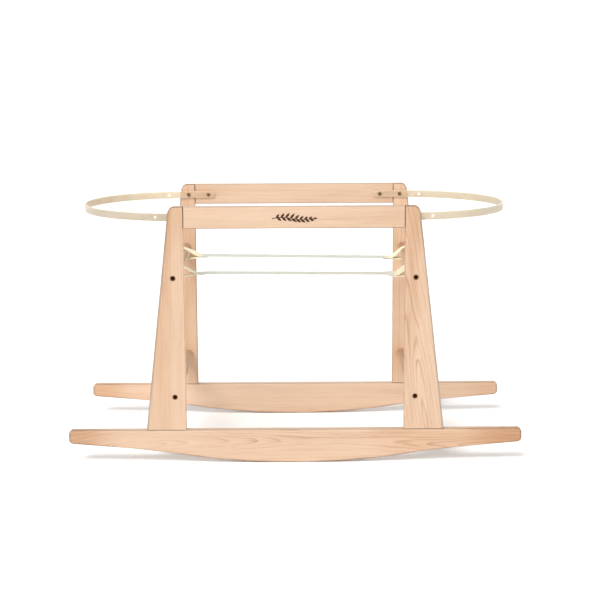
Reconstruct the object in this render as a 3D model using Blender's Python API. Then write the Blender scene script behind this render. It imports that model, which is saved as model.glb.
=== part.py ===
"""Rocking stand for a baby's Moses basket, in beech.

Two flat wooden frames stand parallel to each other, each a rocker, two legs and a top rail. Four round
crossbars tie them together with socket bolts. Two webbing straps, looped round the upper crossbars, carry
the basket, and two springy bands, screwed inside the top rails, hold its ends.

Metres, +Z up. X runs along the rockers, Y from the front frame to the rear one, and the floor is z = 0.
"""

import math

import bmesh
import bpy
from mathutils import Matrix, Vector

# Whole stand
LENGTH = 0.880            # from rocker tip to rocker tip
HEIGHT = 0.502            # floor to the top of the rails
FRAME_Y = 0.188           # from the middle to each frame's centre plane
BOARD = 0.018             # thickness of every board
EASE = 0.0025             # rounding along a board's long edges
GAP = 0.0003              # left between pieces that touch

# Rockers
ROCKER_TOP = 0.066        # height of the straight top edge
ROCKER_RADIUS = 1.450     # of the arc that rolls on the floor
ROCKER_FACET = 0.035      # length of one flat along that arc
ROCKER_FLATS = 6          # flats on each side of the middle one
ROCKER_TAIL_X = 0.330     # where the curve has become the straight tail
ROCKER_TAIL_SLOPE = 0.085
ROCKER_TIP_RADIUS = 0.008

# Legs
LEG_INNER_X = 0.211
LEG_FOOT_X = 0.2884       # outer edge at the rocker
LEG_HEAD_X = 0.239        # outer edge at the top
LEG_CORNER = 0.013        # radius of the outer top corner
LEG_INNER_EASE = 0.001    # the inner edge stays crisp, because the rail's end meets it
LEG_FOOT_EASE = 0.0006    # the leg's foot is glued on, so its edges are only just broken

# Top rails
RAIL_END_X = 0.2101
RAIL_DEEP = 0.042
RAIL_END_EASE = 0.0004

# Crossbars, with a threaded insert in each end
BAR_X = 0.232
BAR_RADIUS = 0.011
BAR_HEIGHTS = {"upper": 0.365, "lower": 0.132}
INSERT_RADIUS = 0.005
INSERT_LONG = 0.015
BOLT_RADIUS = 0.003
BOLT_LONG = 0.036         # under the head
BOLT_HEAD_RADIUS = 0.005
BOLT_HEAD_HIGH = 0.006
BOLT_HEAD_SUNK = 0.001    # top of the head below the leg's face
BOLT_KEY = 0.0025         # half the width across the hexagon's flats
BOLT_KEY_DEEP = 0.003

# Glued dowel pins
PIN_RADIUS = 0.004
PIN_LONG = 0.030
FOOT_PIN_X = {"inner": 0.230, "outer": 0.266}
RAIL_PIN_Z = {"upper": 0.491, "lower": 0.469}

# Basket bands
BAND_Z = 0.480
BAND_TALL = 0.015
BAND_THICK = 0.0025
BAND_START_X = 0.168      # rounded end of the strip, on the rail
BAND_BEND_X = 0.222       # where it leaves the frame and starts to curve
BAND_REACH_X = 0.420
BAND_HOLES_X = {"rail": 0.182, "leg": 0.224, "spare": 0.265}
BAND_EASE = 0.0004
SCREW_RADIUS = 0.002
SCREW_LONG = 0.014        # under the head
SCREW_HEAD_RADIUS = 0.0037
SCREW_HEAD_HIGH = 0.0022

# Basket straps
STRAP_Y = 0.105
STRAP_WIDE = 0.020
STRAP_THICK = 0.0015
STRAP_JOIN_X = 0.197      # where the two strands of a loop meet
STRAP_TAIL_X = 0.172      # end of the tail that is folded back and sewn
STRAP_JOIN_Z = 0.3605
STRAP_SAG = 0.002

SIDES = {"left": -1, "right": 1}
FRAMES = {"front": -1, "rear": 1}


# Materials

def finish(name, colour, roughness, metallic=0.0):
    """A plain Principled material."""
    made = bpy.data.materials.new(name)
    made.use_nodes = True
    shader = made.node_tree.nodes["Principled BSDF"]
    shader.inputs["Base Color"].default_value = (*colour, 1.0)
    shader.inputs["Roughness"].default_value = roughness
    shader.inputs["Metallic"].default_value = metallic
    made.diffuse_color = (*colour, 1.0)
    return made


# Meshes

def make(name, mesh, material, location=(0, 0, 0), rotation=(0, 0, 0)):
    """An object for one piece, which may share its mesh with another."""
    piece = bpy.data.objects.new(name, mesh)
    piece.location = location
    piece.rotation_euler = rotation
    bpy.context.scene.collection.objects.link(piece)
    if material and not mesh.materials:
        mesh.materials.append(material)
    return piece


def mesh_from(name, vertices, faces, smooth_angle=35):
    """A closed mesh with its faces turned outwards and its round faces shaded smooth."""
    mesh = bpy.data.meshes.new(name)
    mesh.from_pydata(vertices, [], faces)
    shape = bmesh.new()
    shape.from_mesh(mesh)
    bmesh.ops.recalc_face_normals(shape, faces=shape.faces)
    shape.to_mesh(mesh)
    shape.free()
    mesh.shade_smooth()
    mesh.set_sharp_from_angle(angle=math.radians(smooth_angle))
    return mesh


def fillet(before, corner, after, radius, steps=6):
    """Points of the arc that rounds a corner of an outline."""
    bx, bz = before[0] - corner[0], before[1] - corner[1]
    ax, az = after[0] - corner[0], after[1] - corner[1]
    b_long, a_long = math.hypot(bx, bz), math.hypot(ax, az)
    bx, bz, ax, az = bx / b_long, bz / b_long, ax / a_long, az / a_long
    half = math.acos(bx * ax + bz * az) / 2
    mid_x, mid_z = bx + ax, bz + az
    mid_long = math.hypot(mid_x, mid_z)
    away = radius / math.sin(half) / mid_long
    centre = (corner[0] + mid_x * away, corner[1] + mid_z * away)
    reach = radius / math.tan(half)
    first = (corner[0] + bx * reach, corner[1] + bz * reach)
    last = (corner[0] + ax * reach, corner[1] + az * reach)
    start = math.atan2(first[1] - centre[1], first[0] - centre[0])
    turn = math.atan2(last[1] - centre[1], last[0] - centre[0]) - start
    turn = (turn + math.pi) % (2 * math.pi) - math.pi
    angles = [start + turn * k / steps for k in range(steps + 1)]
    return [(centre[0] + radius * math.cos(a), centre[1] + radius * math.sin(a)) for a in angles]


def inset(outline, share):
    """The outline moved inwards by a share of each edge's own easing.

    outline is a counter-clockwise list of (x, z, ease), where ease belongs to the edge that starts there.
    """
    moved = []
    for k, (x, z, ease) in enumerate(outline):
        before, after = outline[k - 1], outline[(k + 1) % len(outline)]
        d0 = (x - before[0], z - before[1])
        d1 = (after[0] - x, after[1] - z)
        n0 = (-d0[1] / math.hypot(*d0), d0[0] / math.hypot(*d0))
        n1 = (-d1[1] / math.hypot(*d1), d1[0] / math.hypot(*d1))
        a0, a1 = before[2] * share, ease * share
        cross = n0[0] * n1[1] - n0[1] * n1[0]
        if abs(cross) < 0.01 or a0 == a1:
            step = min(a0, a1) / (1 + n0[0] * n1[0] + n0[1] * n1[1])
            moved.append((x + (n0[0] + n1[0]) * step, z + (n0[1] + n1[1]) * step))
        else:
            moved.append((x + (a0 * n1[1] - a1 * n0[1]) / cross, z + (a1 * n0[0] - a0 * n1[0]) / cross))
    return moved


def board(name, outline, thickness=BOARD, rounding=2):
    """A board cut to an outline in XZ, with both of its faces' edges rounded over."""
    rings = []
    for k in range(rounding + 1):
        angle = math.pi / 2 * k / rounding
        rings.append((EASE * (1 - math.cos(angle)), 1 - math.sin(angle)))
    rings = [(deep - thickness / 2, share) for deep, share in rings]
    rings += [(-y, share) for y, share in reversed(rings)]
    count = len(outline)
    vertices = [(x, y, z) for y, share in rings for x, z in inset(outline, share)]
    faces = [list(range(count)), list(range(count * (len(rings) - 1), count * len(rings)))]
    for ring in range(len(rings) - 1):
        for k in range(count):
            a, b = ring * count + k, ring * count + (k + 1) % count
            faces.append([a, b, b + count, a + count])
    return mesh_from(name, vertices, faces, smooth_angle=50)


def whole_round(_angle, radius):
    return radius


def hexagon(angle, apothem):
    """Distance to a hexagon's side at an angle."""
    return apothem / math.cos(angle % (math.pi / 3) - math.pi / 6)


def cross_slot(angle, reach, half_wide=0.00045):
    """Distance to the edge of a cross-shaped slot at an angle."""
    c, s = max(abs(math.cos(angle)), 1e-9), max(abs(math.sin(angle)), 1e-9)
    return max(min(half_wide / s, reach / c), min(half_wide / c, reach / s))


def turned(name, profile, segments=24, ring_shaped=False):
    """A piece turned about local Z, from (radius, height[, outline]) points; a radius of 0 is on the axis."""
    vertices, rows = [], []
    for radius, height, *shape in profile:
        outline = shape[0] if shape else whole_round
        if radius == 0:
            rows.append([len(vertices)])
            vertices.append((0, 0, height))
            continue
        rows.append(list(range(len(vertices), len(vertices) + segments)))
        for k in range(segments):
            angle = 2 * math.pi * k / segments
            reach = outline(angle, radius)
            vertices.append((reach * math.cos(angle), reach * math.sin(angle), height))
    faces = []
    pairs = list(zip(rows, rows[1:]))
    if ring_shaped:
        pairs.append((rows[-1], rows[0]))
    for low, high in pairs:
        for k in range(segments):
            n = (k + 1) % segments
            if len(low) == 1:
                faces.append([low[0], high[n], high[k]])
            elif len(high) == 1:
                faces.append([low[k], low[n], high[0]])
            else:
                faces.append([low[k], low[n], high[n], high[k]])
    return mesh_from(name, vertices, faces)


def drill(piece, holes):
    """Cut round holes with one tool. Each hole is a point, a direction and (radius, distance) steps."""
    shape = bmesh.new()
    for start, way, steps in holes:
        segments = 24 if steps[-1][0] > INSERT_RADIUS else 16
        one = turned("hole", [(0, steps[0][1]), *steps, (0, steps[-1][1])], segments)
        turn = Vector((0, 0, 1)).rotation_difference(Vector(way)).to_matrix().to_4x4()
        one.transform(Matrix.Translation(start) @ turn)
        shape.from_mesh(one)
        bpy.data.meshes.remove(one)
    mesh = bpy.data.meshes.new(f"cut_{piece.name}")
    shape.to_mesh(mesh)
    shape.free()
    cut_with(piece, make(mesh.name, mesh, None))


def cut_with(piece, tool):
    """Subtract a tool, which stays in the file as a wire guide."""
    tool.hide_render = True
    tool.display_type = "WIRE"
    cut = piece.modifiers.new(tool.name, "BOOLEAN")
    cut.operation = "DIFFERENCE"
    cut.solver = "EXACT"
    cut.object = tool


# Outlines

def rocker_outline():
    """Counter-clockwise from the left: the rolling arc, the tails that rise to the tips, the top edge."""
    half = math.asin(ROCKER_FACET / 2 / ROCKER_RADIUS)
    centre_z = ROCKER_RADIUS * math.cos(half)
    arc = []
    for k in range(ROCKER_FLATS + 1):
        angle = (2 * k + 1) * half
        arc.append((ROCKER_RADIUS * math.sin(angle), centre_z - ROCKER_RADIUS * math.cos(angle)))
    x0, z0 = arc[-1]
    slope, run = math.tan((2 * ROCKER_FLATS + 1) * half), ROCKER_TAIL_X - x0
    steps = 5
    for k in range(1, steps + 1):
        x = run * k / steps
        arc.append((x0 + x, z0 + slope * x - (slope - ROCKER_TAIL_SLOPE) * x * x / (2 * run)))
    tip_z = arc[-1][1] + ROCKER_TAIL_SLOPE * (LENGTH / 2 - ROCKER_TAIL_X)
    low, high = (LENGTH / 2, tip_z), (LENGTH / 2, ROCKER_TOP)
    right = [(x, z, EASE) for x, z in arc]
    right += [(x, z, EASE) for x, z in fillet(arc[-1], low, high, ROCKER_TIP_RADIUS)]
    right += [(x, z, EASE) for x, z in fillet(low, high, (0, ROCKER_TOP), ROCKER_TIP_RADIUS)]
    return right + [(-x, z, ease) for x, z, ease in reversed(right)]


def leg_outline():
    """Right leg: upright inner edge, sloping outer edge, large outer top corner."""
    foot_z = ROCKER_TOP + GAP
    inner_foot, outer_foot = (LEG_INNER_X, foot_z), (LEG_FOOT_X, foot_z)
    outer_head, inner_head = (LEG_HEAD_X, HEIGHT), (LEG_INNER_X, HEIGHT)
    outline = [(*inner_foot, LEG_FOOT_EASE), (*outer_foot, EASE)]
    outline += [(*p, EASE) for p in fillet(outer_foot, outer_head, inner_head, LEG_CORNER, steps=10)]
    return outline + [(*inner_head, LEG_INNER_EASE)]


def mirrored(outline):
    """The outline seen from behind, still counter-clockwise."""
    return [(-outline[k][0], outline[k][1], outline[k - 1][2]) for k in range(len(outline) - 1, -1, -1)]


def rail_outline():
    low = HEIGHT - RAIL_DEEP
    return [
        (-RAIL_END_X, low, EASE),
        (RAIL_END_X, low, RAIL_END_EASE),
        (RAIL_END_X, HEIGHT, EASE),
        (-RAIL_END_X, HEIGHT, RAIL_END_EASE),
    ]


def tangent(point, centre, radius, side):
    """Angle at which a line from a point touches a circle; side is 1 or -1."""
    dx, dz = point[0] - centre[0], point[1] - centre[1]
    return math.atan2(dz, dx) + side * math.acos(radius / math.hypot(dx, dz))


def strap_end(radius, low, high, steps=28):
    """Right end of a strap's side view: from low, round the crossbar and back to high."""
    centre = (BAR_X, BAR_HEIGHTS["upper"])
    start, end = tangent(low, centre, radius, 1), tangent(high, centre, radius, -1)
    while end < start:
        end += 2 * math.pi
    angles = [start + (end - start) * k / steps for k in range(steps + 1)]
    return [(centre[0] + radius * math.cos(a), centre[1] + radius * math.sin(a)) for a in angles]


def strap_middle(offset, steps=8):
    """The run between the two sewn tails, from left to right, a distance above or below the centre line."""
    points = []
    for k in range(steps + 1):
        share = 2 * k / steps - 1
        points.append((STRAP_TAIL_X * share, STRAP_JOIN_Z - STRAP_SAG * (1 - share * share) + offset))
    return points


def prism(name, outline, y0, y1):
    """A straight extrusion along Y of an outline in XZ."""
    count = len(outline)
    vertices = [(x, y0, z) for x, z in outline] + [(x, y1, z) for x, z in outline]
    faces = [list(range(count)), list(range(count, 2 * count))]
    faces += [[k, (k + 1) % count, (k + 1) % count + count, k + count] for k in range(count)]
    return mesh_from(name, vertices, faces)


# Pieces

def add_rockers(wood):
    for frame, back in FRAMES.items():
        y = back * FRAME_Y
        rocker = make(f"{frame}_rocker", board(f"{frame}_rocker", rocker_outline()), wood, (0, y, 0))
        deep = ROCKER_TOP - PIN_LONG / 2 - GAP
        holes = []
        for way in SIDES.values():
            for x in FOOT_PIN_X.values():
                holes.append(((way * x, y, deep), (0, 0, 1), pin_hole()))
        drill(rocker, holes)


def add_legs(wood):
    for frame, back in FRAMES.items():
        for side, way in SIDES.items():
            name, y = f"{frame}_{side}_leg", back * FRAME_Y
            outline = leg_outline() if way > 0 else mirrored(leg_outline())
            leg = make(name, board(name, outline), wood, (0, y, 0))
            holes = []
            for z in BAR_HEIGHTS.values():
                holes.append(((way * BAR_X, y, z), (0, back, 0), bolt_hole()))
            for x in FOOT_PIN_X.values():
                end = ROCKER_TOP + PIN_LONG / 2 + 2 * GAP
                holes.append(((way * x, y, end), (0, 0, -1), pin_hole()))
            for z in RAIL_PIN_Z.values():
                end = way * ((RAIL_END_X + LEG_INNER_X) / 2 + PIN_LONG / 2 + GAP)
                holes.append(((end, y, z), (-way, 0, 0), pin_hole()))
            holes.append(screw_hole(way * BAND_HOLES_X["leg"], back))
            drill(leg, holes)


def bolt_hole():
    """Through a board along its bolt, from the board's centre plane: the shank's hole, then the head's."""
    seat = BOARD / 2 - BOLT_HEAD_SUNK - BOLT_HEAD_HIGH - GAP
    shank, head = BOLT_RADIUS + GAP, BOLT_HEAD_RADIUS + GAP
    return [(shank, -BOARD), (shank, seat), (head, seat), (head, BOARD)]


def pin_hole():
    """From the hole's closed end out past the joint."""
    return [(PIN_RADIUS + GAP, 0), (PIN_RADIUS + GAP, PIN_LONG)]


def screw_hole(x, back):
    """A blind hole for a band screw, in the inner face of a frame."""
    deep = SCREW_LONG - BAND_THICK
    radius = SCREW_RADIUS + GAP
    return (x, back * (FRAME_Y - BOARD / 2), BAND_Z), (0, back, 0), [(radius, -BOARD), (radius, deep)]


def add_rails(wood):
    for frame, back in FRAMES.items():
        name, y = f"{frame}_top_rail", back * FRAME_Y
        rail = make(name, board(name, rail_outline()), wood, (0, y, 0))
        holes = []
        for way in SIDES.values():
            for z in RAIL_PIN_Z.values():
                end = way * ((RAIL_END_X + LEG_INNER_X) / 2 - PIN_LONG / 2 - GAP)
                holes.append(((end, y, z), (way, 0, 0), pin_hole()))
            holes.append(screw_hole(way * BAND_HOLES_X["rail"], back))
        drill(rail, holes)


def add_crossbars(wood):
    """Turned bars whose ends butt against the frames' inner faces, bored for an insert and its bolt."""
    end = FRAME_Y - BOARD / 2 - GAP
    bore = end - INSERT_LONG - 2 * GAP
    bottom = FRAME_Y + BOARD / 2 - BOLT_HEAD_SUNK - BOLT_HEAD_HIGH - BOLT_LONG - 0.001
    chamfer = 0.0005
    half = [
        (0, bottom),
        (BOLT_RADIUS + GAP, bottom),
        (BOLT_RADIUS + GAP, bore),
        (INSERT_RADIUS + GAP, bore),
        (INSERT_RADIUS + GAP, end),
        (BAR_RADIUS - chamfer, end),
        (BAR_RADIUS, end - chamfer),
    ]
    mesh = turned("crossbar", [(r, -z) for r, z in half] + half[::-1], segments=40)
    for side, way in SIDES.items():
        for level, z in BAR_HEIGHTS.items():
            make(f"{side}_{level}_crossbar", mesh, wood, (way * BAR_X, 0, z), (math.pi / 2, 0, 0))


def add_inserts(zinc):
    low, high = BOLT_RADIUS + GAP, INSERT_RADIUS
    chamfer = 0.0006
    mesh = turned(
        "insert",
        [
            (low, 0),
            (high - chamfer, 0),
            (high, chamfer),
            (high, INSERT_LONG - chamfer),
            (high - chamfer, INSERT_LONG),
            (low, INSERT_LONG),
        ],
        segments=16,
        ring_shaped=True,
    )
    for frame, back in FRAMES.items():
        y = back * (FRAME_Y - BOARD / 2 - 2 * GAP)
        for side, way in SIDES.items():
            for level, z in BAR_HEIGHTS.items():
                turn = (back * math.pi / 2, 0, 0)
                make(f"{frame}_{side}_{level}_insert", mesh, zinc, (way * BAR_X, y, z), turn)


def add_bolts(steel):
    """Socket head bolts, each sunk in its leg; local Z runs from the head's seat out through the head."""
    edge = 0.0005
    mesh = turned(
        "bolt",
        [
            (0, -BOLT_LONG),
            (BOLT_RADIUS - 2 * edge, -BOLT_LONG),
            (BOLT_RADIUS, -BOLT_LONG + 2 * edge),
            (BOLT_RADIUS, 0),
            (BOLT_HEAD_RADIUS, 0),
            (BOLT_HEAD_RADIUS, BOLT_HEAD_HIGH - edge),
            (BOLT_HEAD_RADIUS - edge, BOLT_HEAD_HIGH),
            (BOLT_KEY, BOLT_HEAD_HIGH, hexagon),
            (BOLT_KEY, BOLT_HEAD_HIGH - BOLT_KEY_DEEP, hexagon),
            (0, BOLT_HEAD_HIGH - BOLT_KEY_DEEP - edge),
        ],
    )
    for frame, back in FRAMES.items():
        y = back * (FRAME_Y + BOARD / 2 - BOLT_HEAD_SUNK - BOLT_HEAD_HIGH)
        for side, way in SIDES.items():
            for level, z in BAR_HEIGHTS.items():
                turn = (-back * math.pi / 2, 0, 0)
                make(f"{frame}_{side}_{level}_bolt", mesh, steel, (way * BAR_X, y, z), turn)


def add_pins(wood):
    """Glued dowel pins: two up from the rocker into each leg, two from each rail end into its leg."""
    chamfer, half = 0.0008, PIN_LONG / 2
    profile = [
        (0, -half),
        (PIN_RADIUS - chamfer, -half),
        (PIN_RADIUS, -half + chamfer),
        (PIN_RADIUS, half - chamfer),
        (PIN_RADIUS - chamfer, half),
        (0, half),
    ]
    mesh = turned("pin", profile, segments=12)
    for frame, back in FRAMES.items():
        y = back * FRAME_Y
        for side, way in SIDES.items():
            for place, x in FOOT_PIN_X.items():
                spot = (way * x, y, ROCKER_TOP + GAP / 2)
                make(f"{frame}_{side}_foot_pin_{place}", mesh, wood, spot)
            for place, z in RAIL_PIN_Z.items():
                spot = (way * (RAIL_END_X + LEG_INNER_X) / 2, y, z)
                make(f"{frame}_{side}_rail_pin_{place}", mesh, wood, spot, (0, math.pi / 2, 0))


def band_columns():
    """(x, y, half height) along the right band's middle surface, from its front end to its rear end."""
    flat_y = FRAME_Y - BOARD / 2 - GAP - BAND_THICK / 2
    radius, end_steps, bend_steps = BAND_TALL / 2, 5, 56
    ends = []
    for k in range(end_steps + 1):
        angle = math.pi / 2 * k / end_steps
        ends.append((BAND_START_X + radius * (1 - math.cos(angle)), radius * math.sin(angle)))
    bend = []
    for k in range(bend_steps + 1):
        angle = math.pi * (k / bend_steps - 0.5)
        x = BAND_BEND_X + (BAND_REACH_X - BAND_THICK / 2 - BAND_BEND_X) * math.cos(angle)
        bend.append((x, flat_y * math.sin(angle), radius))
    front = [(x, -flat_y, half) for x, half in ends]
    return front + bend + [(x, -y, half) for x, y, half in reversed(front)]


def band_surface(name, way):
    """The band's middle surface, which is then given its thickness."""
    vertices, columns = [], []
    for x, y, half in band_columns():
        columns.append(len(vertices))
        vertices.append((way * x, y, BAND_Z + half))
        if half > 0:
            vertices.append((way * x, y, BAND_Z - half))
    faces = []
    for a, b in zip(columns, columns[1:]):
        tops = [a] if a == 0 else [a, a + 1]
        ends = [b] if b == columns[-1] else [b + 1, b]
        faces.append(tops + ends if way > 0 else (tops + ends)[::-1])
    mesh = bpy.data.meshes.new(name)
    mesh.from_pydata(vertices, [], faces)
    mesh.shade_smooth()
    return mesh


def add_bands(plastic):
    for side, way in SIDES.items():
        name = f"{side}_basket_band"
        band = make(name, band_surface(name, way), plastic)
        thick = band.modifiers.new("thickness", "SOLIDIFY")
        thick.thickness = BAND_THICK
        thick.offset = 0
        thick.use_even_offset = True
        eased = band.modifiers.new("eased_edges", "BEVEL")
        eased.width = BAND_EASE
        eased.limit_method = "ANGLE"
        eased.angle_limit = math.radians(50)
        radius, near, far = SCREW_RADIUS + GAP, FRAME_Y - 2 * BOARD, FRAME_Y
        holes = []
        for back in FRAMES.values():
            for x in BAND_HOLES_X.values():
                holes.append(((way * x, 0, BAND_Z), (0, back, 0), [(radius, near), (radius, far)]))
        drill(band, holes)


def add_band_screws(brass):
    """Pan head screws through the bands; local Z runs from under the head out through it."""
    head, high = SCREW_HEAD_RADIUS, SCREW_HEAD_HIGH
    slot, deep = 0.0019, 0.0012
    mesh = turned(
        "band_screw",
        [
            (0, -SCREW_LONG),
            (SCREW_RADIUS, -SCREW_LONG + 2 * SCREW_RADIUS),
            (SCREW_RADIUS, 0),
            (head, 0),
            (head, high * 0.35),
            (head * 0.93, high * 0.7),
            (head * 0.78, high),
            (slot, high, cross_slot),
            (slot * 0.8, high - deep, cross_slot),
            (0, high - deep * 1.3),
        ],
    )
    for frame, back in FRAMES.items():
        y = back * (FRAME_Y - BOARD / 2 - BAND_THICK - 2 * GAP)
        for side, way in SIDES.items():
            for hole in ("rail", "leg"):
                spot = (way * BAND_HOLES_X[hole], y, BAND_Z)
                turn = (back * math.pi / 2, 0, 0)
                make(f"{frame}_{side}_{hole}_screw", mesh, brass, spot, turn)


def add_straps(webbing):
    """Webbing looped round both upper crossbars, each tail folded back and sewn to the strap."""
    half, outer = STRAP_THICK / 2, BAR_RADIUS + GAP + STRAP_THICK
    low, high = (STRAP_JOIN_X, STRAP_JOIN_Z - STRAP_THICK), (STRAP_JOIN_X, STRAP_JOIN_Z + STRAP_THICK)
    tail = [(STRAP_TAIL_X, STRAP_JOIN_Z - half), (STRAP_TAIL_X + STRAP_THICK, low[1]), low]
    right = strap_end(outer, low, high) + [high, (STRAP_TAIL_X + STRAP_THICK, high[1])]
    top = [(x, z) for x, z in reversed(strap_middle(half))]
    left = [(-x, z) for x, z in reversed(tail[1:] + right)]
    outline = strap_middle(-half)[:-1] + tail + right + top + left
    apex = (STRAP_JOIN_X + 2 * STRAP_THICK, STRAP_JOIN_Z)
    eye = [apex] + strap_end(BAR_RADIUS + GAP, apex, apex)
    for frame, back in FRAMES.items():
        name, y = f"{frame}_basket_strap", back * STRAP_Y
        edges = (y - STRAP_WIDE / 2, y + STRAP_WIDE / 2)
        strap = make(name, prism(name, outline, *edges), webbing)
        for side, way in SIDES.items():
            hole = [(way * x, z) for x, z in eye]
            tool = prism(f"cut_{name}_{side}_eye", hole, edges[0] - STRAP_WIDE, edges[1] + STRAP_WIDE)
            cut_with(strap, make(tool.name, tool, None))


def main():
    for old in list(bpy.data.objects):
        bpy.data.objects.remove(old)
    beech = finish("beech", (0.83, 0.58, 0.39), 0.55)
    pin_wood = finish("dowel_pin_wood", (0.74, 0.52, 0.33), 0.65)
    plastic = finish("cream_plastic", (0.77, 0.70, 0.55), 0.40)
    webbing = finish("cotton_webbing", (0.83, 0.79, 0.68), 0.90)
    black_steel = finish("black_steel", (0.03, 0.025, 0.02), 0.45, 0.8)
    brass = finish("antique_brass", (0.30, 0.18, 0.09), 0.45, 0.8)
    zinc = finish("zinc_steel", (0.60, 0.58, 0.55), 0.40, 0.9)
    add_rockers(beech)
    add_legs(beech)
    add_rails(beech)
    add_crossbars(beech)
    add_inserts(zinc)
    add_bolts(black_steel)
    add_pins(pin_wood)
    add_bands(plastic)
    add_band_screws(brass)
    add_straps(webbing)


main()
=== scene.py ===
"""Looks of the rocking basket stand: grained beech, sewn webbing straps, springy bands, a burnt leaf mark.

Metres, in the frame of the CAD model: X along the rockers, Y from the front frame to the rear one, +Z up.
"""

import math

import bmesh
import bpy
from mathutils import Matrix, Vector


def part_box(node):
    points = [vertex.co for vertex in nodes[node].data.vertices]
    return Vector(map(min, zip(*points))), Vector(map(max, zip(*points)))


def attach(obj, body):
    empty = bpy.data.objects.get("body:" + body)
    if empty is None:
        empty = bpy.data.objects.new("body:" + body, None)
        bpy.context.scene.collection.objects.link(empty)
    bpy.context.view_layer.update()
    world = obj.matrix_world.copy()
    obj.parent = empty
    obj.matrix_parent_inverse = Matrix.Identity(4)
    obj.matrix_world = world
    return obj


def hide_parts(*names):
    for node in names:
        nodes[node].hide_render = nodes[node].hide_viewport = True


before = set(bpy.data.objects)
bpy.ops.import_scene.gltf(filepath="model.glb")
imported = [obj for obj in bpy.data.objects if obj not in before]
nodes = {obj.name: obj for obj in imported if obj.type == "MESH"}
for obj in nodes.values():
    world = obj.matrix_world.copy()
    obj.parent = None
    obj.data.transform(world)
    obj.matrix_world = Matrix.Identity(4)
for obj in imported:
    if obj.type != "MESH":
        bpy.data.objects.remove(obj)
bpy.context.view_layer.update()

BODY = "root"
SIDES = {"left": -1, "right": 1}
WHITE = (1.0, 1.0, 1.0, 1)


# Camera, floor and lights

CAMERA_PLACE = (0.0035, -3.1619, 0.8849)
CAMERA_LENS, CAMERA_SENSOR = 94.72, 36.0
CAMERA_DOWN, CAMERA_RIGHT, CAMERA_ROLL = (math.radians(a) for a in (10.748, 0.135, -0.288))
SUN_ELEVATION, SUN_AZIMUTH, SUN_SOFTNESS = (math.radians(a) for a in (48, -27, 32))
SUN_STRENGTH = 3.3
SUN_COLOUR = (1.0, 0.985, 0.965)
ROOM_COLOUR = (1.0, 0.998, 0.995, 1)
SKY_FRONT, SKY_BACK, SKY_SIDES = 0.40, 0.60, 0.65
FILL, FILL_SIDES = 1.8, 0.45
HORIZON_STRENGTH = 1.1
# parts of a direction between which the room's light goes over from one strength to the next
FRONT_TO_BACK = (-0.3, 0.6)
SKY_TO_SIDES = (0.45, 0.85)
FILL_TO_SIDES = (0.45, 0.75)
HIGH_TO_LOW = (0.6, 0.3)
HORIZON_TO_SKY = (0.03, 0.12)
FLOOR_HALF = 150
FLOOR_COLOUR = (0.95, 0.95, 0.95, 1)


def add_camera():
    """A long lens that looks slightly down on the front frame."""
    lens = bpy.data.cameras.new("camera")
    lens.lens, lens.sensor_width = CAMERA_LENS, CAMERA_SENSOR
    camera = bpy.data.objects.new("camera", lens)
    turn = Matrix.Rotation(-CAMERA_RIGHT, 4, "Z") @ Matrix.Rotation(math.pi / 2 - CAMERA_DOWN, 4, "X")
    camera.matrix_world = Matrix.Translation(CAMERA_PLACE) @ turn @ Matrix.Rotation(CAMERA_ROLL, 4, "Z")
    bpy.context.scene.collection.objects.link(camera)
    bpy.context.scene.camera = camera


def add_room():
    """A white room, brighter behind and low down in front, with darker sides."""
    scene = bpy.context.scene
    scene.view_settings.view_transform = "Standard"
    world = bpy.data.worlds.new("studio")
    world.use_nodes = True
    scene.world = world
    tree = world.node_tree
    way = coordinates(tree, "Generated")
    parts = node(tree, "ShaderNodeSeparateXYZ", {"Vector": way}).outputs
    across, along = (maths(tree, "ABSOLUTE", parts[axis]) for axis in ("X", "Y"))
    sky = step_up(tree, parts["Y"], *FRONT_TO_BACK, SKY_FRONT, SKY_BACK)
    sky = maths(tree, "MULTIPLY", sky, step_up(tree, across, *SKY_TO_SIDES, 1.0, SKY_SIDES))
    fill = step_up(tree, along, *FILL_TO_SIDES, FILL_SIDES, FILL)
    sky = maths(tree, "MULTIPLY_ADD", step_up(tree, parts["Z"], *HIGH_TO_LOW), fill, sky)
    strength = step_up(tree, parts["Z"], *HORIZON_TO_SKY, HORIZON_STRENGTH, sky)
    back = tree.nodes["Background"]
    back.inputs["Color"].default_value = ROOM_COLOUR
    tree.links.new(strength, back.inputs["Strength"])


def add_key_light():
    """A soft key light from high up in front, a little from the left."""
    sun = bpy.data.lights.new("key", "SUN")
    sun.energy, sun.angle, sun.color = SUN_STRENGTH, SUN_SOFTNESS, SUN_COLOUR
    key = bpy.data.objects.new("key", sun)
    flat = math.cos(SUN_ELEVATION)
    towards = Vector((math.sin(SUN_AZIMUTH) * flat, -math.cos(SUN_AZIMUTH) * flat, math.sin(SUN_ELEVATION)))
    key.rotation_euler = towards.to_track_quat("Z", "Y").to_euler()
    bpy.context.scene.collection.objects.link(key)


def add_floor():
    """A white floor whose edge is too far off to be seen."""
    corners = [(x * FLOOR_HALF, y * FLOOR_HALF, 0) for x, y in ((-1, -1), (1, -1), (1, 1), (-1, 1))]
    mesh = bpy.data.meshes.new("floor")
    mesh.from_pydata(corners, [], [(0, 1, 2, 3)])
    floor = bpy.data.objects.new("floor", mesh)
    paint, _, shader = material("floor_white", 0.9)
    shader.inputs["Base Color"].default_value = FLOOR_COLOUR
    mesh.materials.append(paint)
    bpy.context.scene.collection.objects.link(floor)


# Node helpers

def node(tree, kind, inputs=None, **settings):
    """A node with its settings, and its inputs given as values or as sockets to link from."""
    made = tree.nodes.new(kind)
    for key, value in settings.items():
        setattr(made, key, value)
    for key, value in (inputs or {}).items():
        if isinstance(value, bpy.types.NodeSocket):
            tree.links.new(value, made.inputs[key])
        else:
            made.inputs[key].default_value = value
    return made


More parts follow.
